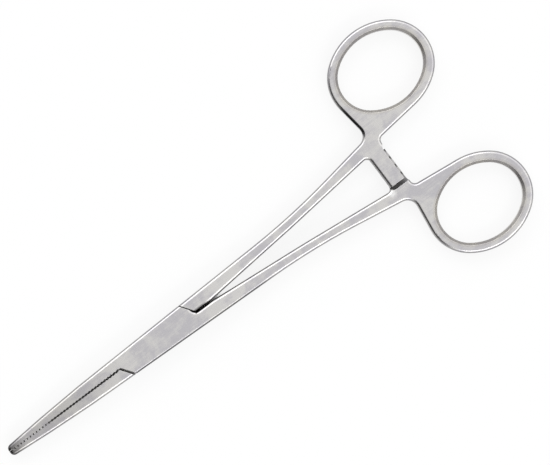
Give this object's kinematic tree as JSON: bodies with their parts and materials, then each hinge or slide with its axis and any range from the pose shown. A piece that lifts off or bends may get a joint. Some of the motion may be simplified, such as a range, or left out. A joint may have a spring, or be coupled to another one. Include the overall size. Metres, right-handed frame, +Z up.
{
  "type": "hemostat forceps",
  "caption": "Straight box-lock hemostat forceps with serrated jaws, slender shanks, a ratchet lock and oval finger rings.",
  "frame": {"origin": "foot of the pivot axis on the underside of the box, where the closed forceps rests", "axes": "+X along the closed jaws towards their tips, +Z up along the pivot pin, +Y towards the ring of the half that has the box"},
  "size_m": [0.14, 0.0624, 0.005],
  "materials": {
    "satin_steel": "satin ground faces with polished rounded edges",
    "pin_steel": "satin, ground flush with the box"
  },
  "bodies": {
    "box_side": {"box_half": "satin_steel", "pivot_pin": "pin_steel"},
    "tongue_side": {"tongue_half": "satin_steel"}
  },
  "joints": [
    {"name": "pivot", "type": "hinge", "parent": "box_side", "child": "tongue_side", "pos_m": [0, 0, 0.0025], "axis": [0, 0, 1], "range_deg": [0, 60]}
  ]
}
